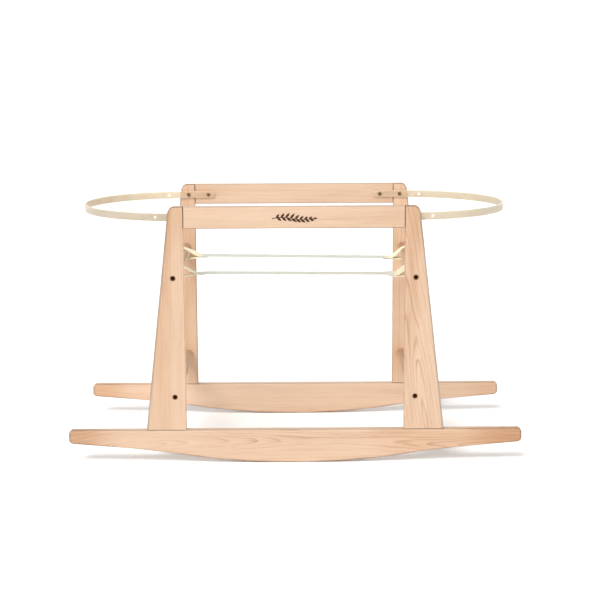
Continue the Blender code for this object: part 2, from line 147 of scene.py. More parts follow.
def maths(tree, operation, *values):
    """A sum of numbers or sockets."""
    return node(tree, "ShaderNodeMath", dict(enumerate(values)), operation=operation).outputs[0]


def vectors(tree, operation, *values):
    """A sum of vectors or sockets."""
    return node(tree, "ShaderNodeVectorMath", dict(enumerate(values)), operation=operation).outputs[0]


def noise(tree, vector, detail=2.0, roughness=0.5, output="Fac"):
    """Noise with one wave per unit of the vector, around 0.5."""
    inputs = {"Vector": vector, "Scale": 1.0, "Detail": detail, "Roughness": roughness}
    return node(tree, "ShaderNodeTexNoise", inputs).outputs[output]


def scaled(tree, vector, factor):
    """A vector times a number or a socket."""
    return node(tree, "ShaderNodeVectorMath", {0: vector, "Scale": factor}, operation="SCALE").outputs[0]


def length(tree, vector):
    return node(tree, "ShaderNodeVectorMath", {0: vector}, operation="LENGTH").outputs["Value"]


def split(tree, vector):
    """A vector's X, Y and Z."""
    return node(tree, "ShaderNodeSeparateXYZ", {"Vector": vector}).outputs


def coordinates(tree, kind="Object"):
    return node(tree, "ShaderNodeTexCoord").outputs[kind]


def step_up(tree, value, low, high, to_low=0.0, to_high=1.0):
    """Goes smoothly over from to_low to to_high while the value goes from low to high."""
    inputs = {"Value": value, "From Min": low, "From Max": high, "To Min": to_low, "To Max": to_high}
    return node(tree, "ShaderNodeMapRange", inputs, interpolation_type="SMOOTHSTEP").outputs["Result"]


def ramp(tree, value, *stops):
    """Colours at places from 0 to 1."""
    made = node(tree, "ShaderNodeValToRGB", {"Fac": value})
    while len(made.color_ramp.elements) < len(stops):
        made.color_ramp.elements.new(1.0)
    for element, (place, colour) in zip(made.color_ramp.elements, stops):
        element.position, element.color = place, (*colour, 1)
    return made.outputs["Color"]


def blend(tree, share, first, second):
    """The first colour, going over to the second as the share goes from 0 to 1."""
    inputs = {"Factor": share, "A": first, "B": second}
    return node(tree, "ShaderNodeMix", inputs, data_type="RGBA").outputs["Result"]


def group(name, inputs, outputs):
    """An empty node group: its tree, its input node's sockets and its output node's sockets."""
    tree = bpy.data.node_groups.new(name, "ShaderNodeTree")
    for label, kind in inputs.items():
        tree.interface.new_socket(label, in_out="INPUT", socket_type=kind)
    for label, kind in outputs.items():
        tree.interface.new_socket(label, in_out="OUTPUT", socket_type=kind)
    return tree, tree.nodes.new("NodeGroupInput").outputs, tree.nodes.new("NodeGroupOutput").inputs


def material(name, roughness=0.5, **values):
    """A Principled material, its node tree and its shader."""
    made = bpy.data.materials.new(name)
    made.use_nodes = True
    shader = made.node_tree.nodes["Principled BSDF"]
    shader.inputs["Roughness"].default_value = roughness
    for label, value in values.items():
        shader.inputs[label.replace("_", " ")].default_value = value
    return made, made.node_tree, shader


def bump(tree, shader, height, distance, strength=1.0):
    """Relief on a shader's surface, which stands distance metres high where height is 1."""
    inputs = {"Height": height, "Distance": distance, "Strength": strength}
    made = node(tree, "ShaderNodeBump", inputs)
    tree.links.new(made.outputs["Normal"], shader.inputs["Normal"])


# Beech: growth rings round a pith line that leans and bows through the tree, fibres and ray flecks

BEECH_LIGHT = (0.528, 0.386, 0.283)
BEECH_MAIN = (0.463, 0.324, 0.227)
BEECH_DARK = (0.312, 0.174, 0.102)
# what the warmest wood, end grain with the painted shade of undersides, and the painted shade along rounded
# edges and outlines keep of each colour
WARM_TINT = (0.82, 0.68, 0.54)
END_GRAIN_AND_SHADE_TINT = (0.66, 0.60, 0.56)
PAINTED_EDGE_SHADE_TINT = (0.67, 0.74, 0.83)
# painted shade: a dark line along a board's rounded edges and near its outline, where those parts fall in
# shade
PAINTED_EDGE_SHADE_DEPTH = (-0.0046, -0.0024)        # the rim fades in between these two places inside a board's outline
PAINTED_UNDERSIDE_SHADE = (-0.05, -0.4)             # upward slopes between which a face turns into a dark underside
# waves per metre along, across and into the grain
WAVES = {
    "wander": (6.0, 22.0, 22.0),
    "ripple": (26.0, 110.0, 110.0),
    "fibre": (55.0, 1500.0, 1500.0),
    "streak": (9.0, 260.0, 260.0),
    "cloud": (5.0, 26.0, 26.0),
    "fleck": (330.0, 1500.0, 1500.0),
    "broad": (3.5, 34.0, 34.0),
}
WANDER_REACH, RIPPLE_REACH = 0.010, 0.0016      # how far these move the rings
DARKENING = {"late": 0.42, "fibre": 0.42, "streak": 0.62, "cloud": 0.50, "fleck": 0.16}
BASE_DARKNESS = 0.36


def ring_distance(tree, place, lean, bow):
    """Distance from the pith line, which leans and bows, to a place that wanders a little."""
    along = split(tree, place)["X"]
    from_pith = vectors(tree, "SUBTRACT", place, scaled(tree, lean, along))
    bowed = scaled(tree, bow, maths(tree, "MULTIPLY", along, along))
    moved = vectors(tree, "SUBTRACT", from_pith, bowed)
    for name, reach in (("wander", WANDER_REACH), ("ripple", RIPPLE_REACH)):
        waves = noise(tree, vectors(tree, "MULTIPLY", place, WAVES[name]), output="Color")
        centred = vectors(tree, "SUBTRACT", waves, (0.5, 0.5, 0.5))
        moved = vectors(tree, "MULTIPLY_ADD", centred, (0.0, reach, reach), moved)
    return length(tree, vectors(tree, "MULTIPLY", moved, (0.0, 1.0, 1.0)))


def late_wood(tree, distance, ring_width, figure):
    """The dark end of each growth ring; rings differ in width and in strength."""
    turns = maths(tree, "DIVIDE", distance, ring_width)
    inputs = {"W": turns, "Scale": 0.6, "Detail": 1.0}
    uneven = node(tree, "ShaderNodeTexNoise", inputs, noise_dimensions="1D")
    turns = maths(tree, "ADD", turns, maths(tree, "MULTIPLY", uneven.outputs["Fac"], 1.4))
    part = maths(tree, "FRACT", turns)
    year = node(tree, "ShaderNodeTexWhiteNoise", {"W": maths(tree, "FLOOR", turns)}, noise_dimensions="1D")
    late = maths(tree, "MULTIPLY", maths(tree, "POWER", part, 3.0), step_up(tree, part, 1.0, 0.88))
    late = maths(tree, "MULTIPLY", late, step_up(tree, year.outputs["Value"], 0.0, 1.0, 0.25, 1.2))
    return maths(tree, "MULTIPLY", late, figure)


def ray_flecks(tree, place):
    """Short dark rays scattered along the grain."""
    inputs = {"Vector": vectors(tree, "MULTIPLY", place, WAVES["fleck"]), "Scale": 1.0}
    cells = node(tree, "ShaderNodeTexVoronoi", inputs).outputs
    picked = node(tree, "ShaderNodeSeparateColor", {"Color": cells["Color"]}).outputs["Red"]
    near, chosen = step_up(tree, cells["Distance"], 0.42, 0.18), step_up(tree, picked, 0.62, 0.8)
    return maths(tree, "MULTIPLY", near, chosen)


def beech_grain():
    """Node group: from a place (along, across, deep) measured from the pith line to the wood's look."""
    number, vector = "NodeSocketFloat", "NodeSocketVector"
    inputs = dict.fromkeys(("Place", "Lean", "Bow"), vector)
    inputs |= dict.fromkeys(("Ring Width", "Figure", "Tone", "Warmth", "End", "Painted Edge Shade"), number)
    outputs = {"Color": "NodeSocketColor", "Roughness": number, "Height": number}
    tree, given, out = group("beech_grain", inputs, outputs)
    place = given["Place"]
    distance = ring_distance(tree, place, given["Lean"], given["Bow"])
    late = late_wood(tree, distance, given["Ring Width"], given["Figure"])
    fleck = ray_flecks(tree, place)
    fibre = noise(tree, vectors(tree, "MULTIPLY", place, WAVES["fibre"]), 3.0, 0.65)
    streak = noise(tree, vectors(tree, "MULTIPLY", place, WAVES["streak"]), 3.0, 0.6)
    cloud = noise(tree, vectors(tree, "MULTIPLY", place, WAVES["cloud"]), 2.0, 0.5)

    dark = maths(tree, "MULTIPLY_ADD", late, DARKENING["late"], BASE_DARKNESS)
    for waves, name in ((fibre, "fibre"), (streak, "streak"), (cloud, "cloud")):
        dark = maths(tree, "MULTIPLY_ADD", maths(tree, "SUBTRACT", waves, 0.5), DARKENING[name], dark)
    dark = maths(tree, "MULTIPLY_ADD", fleck, DARKENING["fleck"], dark)
    dark = maths(tree, "ADD", dark, given["Tone"])
    colour = ramp(tree, dark, (0.0, BEECH_LIGHT), (0.5, BEECH_MAIN), (1.0, BEECH_DARK))

    broad = noise(tree, vectors(tree, "MULTIPLY", place, WAVES["broad"]), 2.0, 0.55)
    warmth = maths(tree, "MULTIPLY_ADD", maths(tree, "SUBTRACT", broad, 0.5), 0.75, given["Warmth"])
    warmth = step_up(tree, maths(tree, "MULTIPLY_ADD", late, 0.16, warmth), 0.0, 1.0)
    # end grain is darker in the wood's own colour; undersides and the line along edges and outlines are
    # painted shade
    for share, tint in ((warmth, WARM_TINT), (given["End"], END_GRAIN_AND_SHADE_TINT), (given["Painted Edge Shade"], PAINTED_EDGE_SHADE_TINT)):
        colour = vectors(tree, "MULTIPLY", colour, blend(tree, share, WHITE, (*tint, 1)))
    tree.links.new(colour, out["Color"])

    dull = maths(tree, "ADD", fibre, maths(tree, "MULTIPLY", fleck, 0.3))
    tree.links.new(step_up(tree, dull, 0.2, 0.9, 0.55, 0.75), out["Roughness"])
    height = maths(tree, "MULTIPLY_ADD", late, -0.5, fibre)
    tree.links.new(maths(tree, "MULTIPLY_ADD", fleck, -0.4, height), out["Height"])
    return tree


GRAIN_AXES = {"X": ("X", "Z", "Y"), "Y": ("Y", "X", "Z"), "Z": ("Z", "X", "Y")}


def rise(tree, axes, axis, low, high, amount):
    """0 up to one place on an axis, then amount; ± before the axis counts both ways from the middle."""
    at = maths(tree, "ABSOLUTE", axes[axis[1]]) if axis.startswith("±") else axes[axis]
    return step_up(tree, at, low, high, 0.0, amount)


def outline_gap(tree, axes, outline):
    """How far a point lies outside a board's outer side and top, with the rounded corner between them."""
    height = maths(tree, "SUBTRACT", axes["Z"], outline["height"])
    side = maths(tree, "MULTIPLY_ADD", height, outline["slope"], outline["wide"] - outline["corner"])
    out = maths(tree, "SUBTRACT", maths(tree, "ABSOLUTE", axes["X"]), side)
    up = maths(tree, "SUBTRACT", axes["Z"], outline["top"] - outline["corner"])
    out, up = (maths(tree, "MAXIMUM", gap, 0.0) for gap in (out, up))
    square = maths(tree, "MULTIPLY_ADD", out, out, maths(tree, "MULTIPLY", up, up))
    return maths(tree, "SUBTRACT", maths(tree, "SQRT", square), outline["corner"])


def painted_edge_shade_share(tree, axes, outward, facing, inner_painted_edge_shade, outline):
    """How much a point belongs to the painted shade line along a board's rounded edges and its outline."""
    rounded = maths(tree, "MULTIPLY", step_up(tree, facing, 0.97, 0.75), step_up(tree, facing, 0.03, 0.2))
    rim = maths(tree, "MULTIPLY", rounded, step_up(tree, outward, -0.9, -0.3, inner_painted_edge_shade, 1.0))
    if outline:
        painted_outline_shade = step_up(tree, outline_gap(tree, axes, outline), *PAINTED_EDGE_SHADE_DEPTH)
        rim = maths(tree, "MAXIMUM", rim, maths(tree, "MULTIPLY", painted_outline_shade, step_up(tree, facing, 0.3, 0.6)))
    return rim


def beech(
    name, grain, along, pith, lean=(0, 0), bow=(0, 0), ring=0.0028, figure=1.0, tone=0.0, painted_light_gain=(1, 1, 1),
    warm=(), dark=(), inner=1.0, inner_painted_edge_shade=1.0, painted_shade_slope=PAINTED_UNDERSIDE_SHADE, outline=None,
):
    """Beech for one board. pith is where its pith line is: (along, across, deep) on the grain's own axes.

    figure is how strong the growth rings show, tone darkens all of the wood, and painted_light_gain
    multiplies its colour:
    painted light that makes a board lying in shade lighter or warmer. warm and dark list (axis, from, to,
    amount): the colour grows that much warmer or darker between two places on an axis. inner is how much
    lighter the faces towards the middle are painted, as painted light, and inner_painted_edge_shade how
    strongly painted shade darkens their corners. painted_shade_slope gives the upward slopes between which
    the surface is painted as dark as end grain, as painted shade, and outline is the board's outer side and
    top, along which a line of painted shade runs.
    """
    made, tree, shader = material(f"beech_{name}", 0.6, Specular_IOR_Level=0.3)
    axes, sides = split(tree, coordinates(tree)), split(tree, coordinates(tree, "Normal"))
    place = node(tree, "ShaderNodeCombineXYZ", {k: axes[axis] for k, axis in enumerate(GRAIN_AXES[along])})
    warmth, darkness = 0.0, tone
    for change in warm:
        warmth = maths(tree, "ADD", rise(tree, axes, *change), warmth)
    for change in dark:
        darkness = maths(tree, "ADD", rise(tree, axes, *change), darkness)
    end = step_up(tree, maths(tree, "ABSOLUTE", sides[along]), 0.35, 0.95)
    outward = maths(tree, "MULTIPLY", sides["X"], maths(tree, "SIGN", axes["X"]))
    facing = maths(tree, "ABSOLUTE", sides["Y"])
    values = {
        "Place": vectors(tree, "SUBTRACT", place.outputs[0], pith),
        "Lean": (0, *lean),
        "Bow": (0, *bow),
        "Ring Width": ring,
        "Figure": figure,
        "Tone": darkness,
        "Warmth": warmth,
        # end grain, and as painted shade the faces that point between the two slopes
        "End": maths(tree, "MAXIMUM", end, step_up(tree, sides["Z"], *painted_shade_slope)),
        "Painted Edge Shade": painted_edge_shade_share(tree, axes, outward, facing, inner_painted_edge_shade, outline),
    }
    wood = node(tree, "ShaderNodeGroup", node_tree=grain)
    for label, value in values.items():
        if isinstance(value, bpy.types.NodeSocket):
            tree.links.new(value, wood.inputs[label])
        else:
            wood.inputs[label].default_value = value
    colour = vectors(tree, "MULTIPLY", wood.outputs["Color"], painted_light_gain)
    # painted light: faces towards the middle are painted lighter by inner
    colour = scaled(tree, colour, step_up(tree, outward, -0.8, -0.97, 1.0, inner))
    tree.links.new(colour, shader.inputs["Base Color"])
    tree.links.new(wood.outputs["Roughness"], shader.inputs["Roughness"])
    bump(tree, shader, wood.outputs["Height"], 0.00012, 0.5)
    return made


def smooth_rounds():
    """Node group for the CAD's separate facets: joins them and shades round faces smooth."""
    tree = bpy.data.node_groups.new("smooth_rounds", "GeometryNodeTree")
    tree.interface.new_socket("Geometry", in_out="INPUT", socket_type="NodeSocketGeometry")
    tree.interface.new_socket("Geometry", in_out="OUTPUT", socket_type="NodeSocketGeometry")
    given = tree.nodes.new("NodeGroupInput").outputs[0]
    joined = node(tree, "GeometryNodeMergeByDistance", {"Geometry": given, "Distance": 1e-6})
    smooth = node(tree, "GeometryNodeSetShadeSmooth", {"Geometry": joined.outputs[0], "Shade Smooth": True})
    angle = node(tree, "GeometryNodeInputMeshEdgeAngle").outputs["Unsigned Angle"]
    sharp = node(tree, "FunctionNodeCompare", {0: angle, 1: math.radians(38)}, operation="GREATER_THAN")
    inputs = {"Geometry": smooth.outputs[0], "Selection": sharp.outputs[0], "Shade Smooth": False}
    edges = node(tree, "GeometryNodeSetShadeSmooth", inputs, domain="EDGE")
    tree.links.new(edges.outputs[0], tree.nodes.new("NodeGroupOutput").inputs[0])
    return tree


def dress(name, finish, rounds):
    """Give a CAD node its finish and smooth shading; its shape stays."""
    piece = nodes[name]
    piece.data.materials.clear()
    piece.data.materials.append(finish)
    joined = piece.modifiers.new("smooth_rounds", "NODES")
    joined.node_group = rounds
    even = piece.modifiers.new("even_normals", "WEIGHTED_NORMAL")
    even.keep_sharp = True


# Meshes

def add_piece(name, mesh, finish, smooth=True):
    """A new piece of the object, which rides on its only body."""
    mesh.materials.append(finish)
    if smooth:
        mesh.shade_smooth()
    piece = bpy.data.objects.new(name, mesh)
    bpy.context.scene.collection.objects.link(piece)
    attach(piece, BODY)
    return piece


def loft(shape, rings, capped=True):
    """Join rings of equally many points into a skin, and close its two ends."""
    rows = [[shape.verts.new(point) for point in ring] for ring in rings]
    count = len(rows[0])
    for low, high in zip(rows, rows[1:]):
        for k in range(count):
            n = (k + 1) % count
            shape.faces.new((low[k], low[n], high[n], high[k]))
    if capped:
        shape.faces.new(rows[0][::-1])
        shape.faces.new(rows[-1])
    return rows


def mesh_of(name, shape):
    bmesh.ops.recalc_face_normals(shape, faces=shape.faces)
    mesh = bpy.data.meshes.new(name)
    shape.to_mesh(mesh)
    shape.free()
    return mesh


def rounded_section(half_wide, half_thick, radius, steps=4):
    """Counter-clockwise points (across, out) of a rectangle with rounded corners."""
    radius = min(radius, half_wide * 0.98, half_thick * 0.98)
    points = []
    for k, (sx, sy) in enumerate(((1, 1), (-1, 1), (-1, -1), (1, -1))):
        for j in range(steps + 1):
            angle = math.pi / 2 * (k + j / steps)
            across = sx * (half_wide - radius) + radius * math.cos(angle)
            points.append((across, sy * (half_thick - radius) + radius * math.sin(angle)))
    return points


# Straps: one length of webbing each, looped round both upper crossbars, its tails folded back and sewn

STRAP_WIDE = 0.020
STRAP_THICK = 0.0015
STRAP_LIFT = 0.0004       # between the webbing and the bar, and between two layers
TAIL_LONG = 0.018         # the sewn tail, from the join where the two strands of a loop part
SEAM = (0.015, 0.002)     # the stitched box, measured the same way
SEAM_HALF_WIDE = 0.0068
STITCH_LONG = 0.0022
STITCH_PITCH = 0.0029
STRAP_STEP = 0.0011       # between two rows of the webbing
HERRINGBONE_WIDE = 0.0025
YARN_PITCH = 0.0011
WARP_PITCH = 0.0008
COTTON_LIGHT = (0.535, 0.540, 0.488)
COTTON_DARK = (0.418, 0.418, 0.366)
CREAM_AND_LIGHT_X = (0.186, 0.204)  # the ends' colour fades in between these two distances from the middle
# how much lighter each strap is painted, painted light against the front rail's shade on the front strap,
# and how much brighter and yellower its ends are than its middle, the brightness painted light against the
# shade at the bars
STRAP_PAINTED_LIGHT_AND_CREAM = {"front": (1.36, (1.26, 1.12, 0.92)), "rear": (1.0, (1.49, 1.33, 1.08))}
# place (x, z) of each join, and degrees that the webbing is turned by in the middle and at the joins
STRAP_HANG = {
    "front": {
        "left": (0.193, 0.3602), "right": (0.201, 0.3569), "turn": 7, "join_turn": {"left": 0, "right": 19},
    },
    "rear": {
        "left": (0.199, 0.3616), "right": (0.204, 0.3556), "turn": 7, "join_turn": {"left": 12, "right": 7},
    },
}


def bar_at(side):
    """Centre (x, z) and radius of an upper crossbar."""
    low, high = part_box(f"{side}_upper_crossbar")
    middle = (low + high) / 2
    return middle.x, middle.z, (high.z - low.z) / 2


def touch(x, z, centre_x, centre_z, radius, side):
    """Angle at which a line from a point touches a circle."""
    dx, dz = x - centre_x, z - centre_z
    return math.atan2(dz, dx) + side * math.acos(radius / math.hypot(dx, dz))


def loop_points(side, join_x, join_z):
    """Half of a strap's route as (x, z): from the join over and round the bar, back to the tail's end.

    It goes round the bar once more than a plain loop does, over itself at the same distance from the bar.
    """
    way = SIDES[side]
    bar_x, bar_z, radius = bar_at(side)
    reach, layer = radius + STRAP_LIFT + STRAP_THICK / 2, STRAP_THICK + STRAP_LIFT
    start = touch(join_x, join_z, abs(bar_x), bar_z, reach, -1) % (2 * math.pi)
    end = touch(join_x, join_z - layer, abs(bar_x), bar_z, reach, 1)
    end -= 2 * math.pi * math.ceil(max(0.0, end - start) / (2 * math.pi) + 1e-9)
    steps = 24
    points = [(join_x, join_z)]
    for k in range(steps + 1):
        angle = start + (end - start) * k / steps
        points.append((abs(bar_x) + reach * math.cos(angle), bar_z + reach * math.sin(angle)))
    points += [(join_x, join_z - layer), (join_x - TAIL_LONG, join_z - layer)]
    return [(way * x, z) for x, z in points]


def evenly(points, step):
    """Points at equal distances along a line through these points."""
    lengths = [0.0]
    for a, b in zip(points, points[1:]):
        lengths.append(lengths[-1] + (b - a).length)
    count = max(2, round(lengths[-1] / step))
    found, k = [], 0
    for j in range(count + 1):
        wanted = lengths[-1] * j / count
        while k < len(points) - 2 and lengths[k + 1] < wanted:
            k += 1
        share = (wanted - lengths[k]) / max(lengths[k + 1] - lengths[k], 1e-12)
        found.append(points[k].lerp(points[k + 1], share))
    return found


def relaxed(points, passes, held):
    """The same line with its corners eased, except where it is held."""
    for _ in range(passes):
        eased = [a * 0.25 + b * 0.5 + c * 0.25 for a, b, c in zip(points, points[1:], points[2:])]
        inner = [b if held(b) else e for b, e in zip(points[1:-1], eased)]
        points = [points[0], *inner, points[-1]]
    return points


def strap_route(frame_name):
    """Centre line of a strap's webbing from one tail's end to the other's, and its turn at each point."""
    hang, y = STRAP_HANG[frame_name], sum(c.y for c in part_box(f"{frame_name}_basket_strap")) / 2
    left, right = loop_points("left", *hang["left"]), loop_points("right", *hang["right"])
    flat = [Vector((x, y, z)) for x, z in left[::-1] + right]
    bars = [(*bar_at(side)[:2], bar_at(side)[2] + STRAP_LIFT + STRAP_THICK * 0.6) for side in SIDES]

    def on_a_bar(point):
        return any(math.hypot(point.x - x, point.z - z) < reach for x, z, reach in bars)

    points = relaxed(evenly(flat, STRAP_STEP), 14, on_a_bar)
    (left_x, left_z), (right_x, right_z) = hang["left"], hang["right"]
    turns = []
    for point in points:
        side = "left" if point.x < 0 else "right"
        x = abs(point.x)
        bar_x = abs(bar_at(side)[0])
        join_x = hang[side][0]
        share = max(0.0, min(1.0, (point.x + left_x) / (left_x + right_x)))
        join_z = left_z + (right_z - left_z) * share
        near_join = max(0.0, 1 - max(0.0, join_x - x) / 0.030)
        free = max(0.0, min(1.0, (bar_x - 0.007 - x) / 0.009))
        upper = point.z > join_z - STRAP_THICK * 0.7
        swing = near_join * near_join * (3 - 2 * near_join)
        turn = hang["turn"] * (1 - swing) + hang["join_turn"][side] * swing
        turns.append(math.radians(turn) * free * (1 if upper else -1 if x < join_x else -0.6))
    turns = [sum(turns[max(0, k - 4):k + 5]) / len(turns[max(0, k - 4):k + 5]) for k in range(len(turns))]
    return points, turns


def strap_frames(points, turns):
    """(point, across, out) along a strap; out is the side away from the bars."""
    found = []
    for k, (point, turn) in enumerate(zip(points, turns)):
        along = (points[min(k + 1, len(points) - 1)] - points[max(k - 1, 0)]).normalized()
        across = Matrix.Rotation(turn, 3, along) @ Vector((0, -1, 0))
        found.append((point, across, across.cross(along).normalized()))
    return found


def webbing_section(row):
    """(across, out) points round the webbing, with its ribs and its thicker woven edges."""
    half, thick, columns = STRAP_WIDE / 2, STRAP_THICK / 2, 26
    face = []
    for k in range(columns + 1):
        share = 2 * k / columns - 1
        lift = 0.00004 * math.cos(math.pi * k) * (1 if (row + k // 4) % 2 else -1)
        selvedge = 0.00008 if abs(share) > 0.86 else 0
        round_off = thick * (1 - math.sqrt(max(0.0, 1 - max(0.0, (abs(share) - 0.94) / 0.06) ** 2)))
        face.append((half * share, thick - 0.00010 + lift + selvedge - round_off * 0.8))
    return face + [(a, -o) for a, o in reversed(face)]


def add_strap(frame_name, finish, thread):
    points, turns = strap_route(frame_name)
    frames = strap_frames(points, turns)
    shape = bmesh.new()
    rings = []
    for k, (point, across, out) in enumerate(frames):
        rings.append([point + across * a + out * o for a, o in webbing_section(k)])
    rows = loft(shape, rings)
    weave = shape.loops.layers.uv.new("weave")
    lengths = [0.0]
    for a, b in zip(points, points[1:]):
        lengths.append(lengths[-1] + (b - a).length)
    where = {}
    for k, row in enumerate(rows):
        for vertex, (a, _) in zip(row, webbing_section(k)):
            where[vertex] = (lengths[k], a + STRAP_WIDE / 2)
    for face in shape.faces:
        for corner in face.loops:
            corner[weave].uv = where[corner.vert]
    name = f"{frame_name}_strap_webbing"
    strap = add_piece(name, mesh_of(name, shape), finish)
    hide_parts(f"{frame_name}_basket_strap")
    stitches = add_stitching(frame_name, frames, thread)


def seam_lines(join_x):
    """A sewn box with its two diagonals, as lines of (x, across)."""
    (near, far), half = (join_x - distance for distance in SEAM), SEAM_HALF_WIDE
    corners = [(near, -half), (far, -half), (far, half), (near, half)]
    lines = list(zip(corners, corners[1:] + corners[:1]))
    return lines + [(corners[0], corners[2]), (corners[1], corners[3])]


def add_stitching(frame_name, frames, thread):
    """Raised stitches of the seams, on the top of the strap and under its tails."""
    shape = bmesh.new()
    for side, way in SIDES.items():
        join_x = STRAP_HANG[frame_name][side][0]
        near = [f for f in frames if 0 < way * f[0].x < join_x]
        for layer in ([f for f in near if f[2].z > 0], [f for f in near if f[2].z < 0]):
            for (x0, a0), (x1, a1) in seam_lines(join_x):
                count = max(1, round(math.hypot(x1 - x0, a1 - a0) / STITCH_PITCH))
                for k in range(count):
                    x, a = (x0 + (x1 - x0) * (k + 0.5) / count), (a0 + (a1 - a0) * (k + 0.5) / count)
                    point, across, out = min(layer, key=lambda f: abs(f[0].x - way * x))
                    place = point + across * a + out * STRAP_THICK / 2
                    add_stitch(shape, place, Vector((way * (x1 - x0), 0, 0)) + across * (a1 - a0), out)
    name = f"{frame_name}_strap_stitching"
    return add_piece(name, mesh_of(name, shape), thread)


def add_stitch(shape, place, way, out, radius=0.00026):
    """One stitch: a short thread that dives into the webbing at both ends."""
    along = (way - out * way.dot(out)).normalized()
    side = out.cross(along)
    rings = []
    for share in (-1, -0.8, -0.4, 0, 0.4, 0.8, 1):
        thin = radius * max(0.35, math.sqrt(1 - 0.85 * share * share))
        middle = place + along * (share * STITCH_LONG / 2) + out * (radius * (0.7 - 1.3 * share * share))
        turns = [2 * math.pi * j / 6 for j in range(6)]
        rings.append([middle + side * (thin * math.cos(t)) + out * (thin * math.sin(t)) for t in turns])
    loft(shape, rings)


def webbing_material(name, light, dark, cream_and_painted_light):
    """Herringbone cotton: slanting yarns that turn back every few millimetres across the webbing."""
    made, tree, shader = material(name, 0.92, Sheen_Weight=0.25, Specular_IOR_Level=0.2)
    where = node(tree, "ShaderNodeUVMap", uv_map="weave").outputs["UV"]
    parts = split(tree, where)
    zigzag = maths(tree, "PINGPONG", parts["Y"], HERRINGBONE_WIDE)
    slanted = maths(tree, "ADD", parts["X"], zigzag)
    yarn = maths(tree, "SINE", maths(tree, "MULTIPLY", slanted, 2 * math.pi / YARN_PITCH))
    cross = maths(tree, "SINE", maths(tree, "MULTIPLY", parts["Y"], 2 * math.pi / WARP_PITCH))
    place = coordinates(tree)
    fuzz = noise(tree, vectors(tree, "MULTIPLY", place, (2600.0, 2600.0, 2600.0)), 2.0, 0.6)
    uneven = noise(tree, vectors(tree, "MULTIPLY", place, (45.0, 120.0, 45.0)), 2.0, 0.5)
    height = maths(tree, "MULTIPLY_ADD", yarn, 0.5, maths(tree, "MULTIPLY", cross, 0.22))
    height = maths(tree, "MULTIPLY_ADD", fuzz, 0.5, height)
    tone = maths(tree, "MULTIPLY_ADD", height, 0.22, maths(tree, "MULTIPLY_ADD", uneven, 0.8, 0.05))
    colour = ramp(tree, tone, (0.1, dark), (0.75, light))
    beyond = maths(tree, "ABSOLUTE", split(tree, place)["X"])
    # the ends are painted yellower and brighter; the extra brightness is painted light against the shade at
    # the bars
    cream_and_painted_light = blend(tree, step_up(tree, beyond, *CREAM_AND_LIGHT_X), WHITE, (*cream_and_painted_light, 1))
    tree.links.new(vectors(tree, "MULTIPLY", colour, cream_and_painted_light), shader.inputs["Base Color"])
    tree.links.new(step_up(tree, height, -0.6, 0.8, 0.97, 0.86), shader.inputs["Roughness"])
    bump(tree, shader, height, 0.00012, 0.7)
    return made


# Bands: springy strips with eased edges, rounded ends and screw holes

BAND_BEND_X = 0.222
BAND_THICK = 0.0025
BAND_EASE = 0.0009
BAND_HOLES_X = (0.182, 0.224, 0.265)
BAND_HOLE_RADIUS = 0.0023
BACKED_X = 0.2415         # the frame lies behind the strip up to here


def band_route(side):
    """(x, y, distance from the nearer end) along a band's centre line, its middle's height and its radius."""
    low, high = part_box(f"{side}_basket_band")
    start = min(abs(low.x), abs(high.x))
    reach = max(abs(low.x), abs(high.x)) - BAND_THICK / 2
    flat_y = high.y - BAND_THICK / 2
    ends = [start + (BAND_BEND_X - start) * (k / 22) ** 1.7 for k in range(22)]
    points = [(x, -flat_y) for x in ends]
    steps = 110
    for k in range(steps + 1):
        angle = math.pi * (k / steps - 0.5)
        points.append((BAND_BEND_X + (reach - BAND_BEND_X) * math.cos(angle), flat_y * math.sin(angle)))
    points += [(x, flat_y) for x in reversed(ends)]
    route = [(SIDES[side] * x, y, abs(x) - start) for x, y in points]
    return route, (low.z + high.z) / 2, (high.z - low.z) / 2


def add_band(side, finish):
    route, middle_z, radius = band_route(side)
    shape = bmesh.new()
    rings = []
    for k, (x, y, from_end) in enumerate(route):
        before, after = route[max(k - 1, 0)], route[min(k + 1, len(route) - 1)]
        along = Vector((after[0] - before[0], after[1] - before[1], 0)).normalized()
        out = along.cross(Vector((0, 0, 1)))
        near = max(0.0, 1 - (from_end + 0.0002) / radius)
        half = radius * math.sqrt(1 - near * near)
        edge = max(0.0, 1 - (from_end + 0.0001) / BAND_EASE)
        half_thick = BAND_THICK / 2 - BAND_EASE * (1 - math.sqrt(1 - edge * edge))
        section = rounded_section(half, half_thick, BAND_EASE)
        rings.append([Vector((x, y, middle_z + up)) + out * off for up, off in section])
    loft(shape, rings)
    name = f"{side}_band_strip"
    band = add_piece(name, mesh_of(name, shape), finish)
    pierce(band, [(SIDES[side] * x, middle_z) for x in BAND_HOLES_X], BAND_HOLE_RADIUS)
    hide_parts(f"{side}_basket_band")


def pierce(piece, holes, radius):
    """Cut round holes through a piece along Y."""
    shape = bmesh.new()
    for x, z in holes:
        turn = Matrix.Translation((x, 0, z)) @ Matrix.Rotation(math.pi / 2, 4, "X")
        bmesh.ops.create_cone(
            shape, cap_ends=True, segments=28, radius1=radius, radius2=radius, depth=0.5, matrix=turn
        )
    mesh = mesh_of("holes", shape)
    tool = bpy.data.objects.new("holes", mesh)
    bpy.context.scene.collection.objects.link(tool)
    cut = piece.modifiers.new("holes", "BOOLEAN")
    cut.operation, cut.solver, cut.object = "DIFFERENCE", "EXACT", tool
    made = bpy.data.meshes.new_from_object(piece.evaluated_get(bpy.context.evaluated_depsgraph_get()))
    piece.modifiers.clear()
    bpy.data.objects.remove(tool)
    piece.data = made
    made.set_sharp_from_angle(angle=math.radians(50))


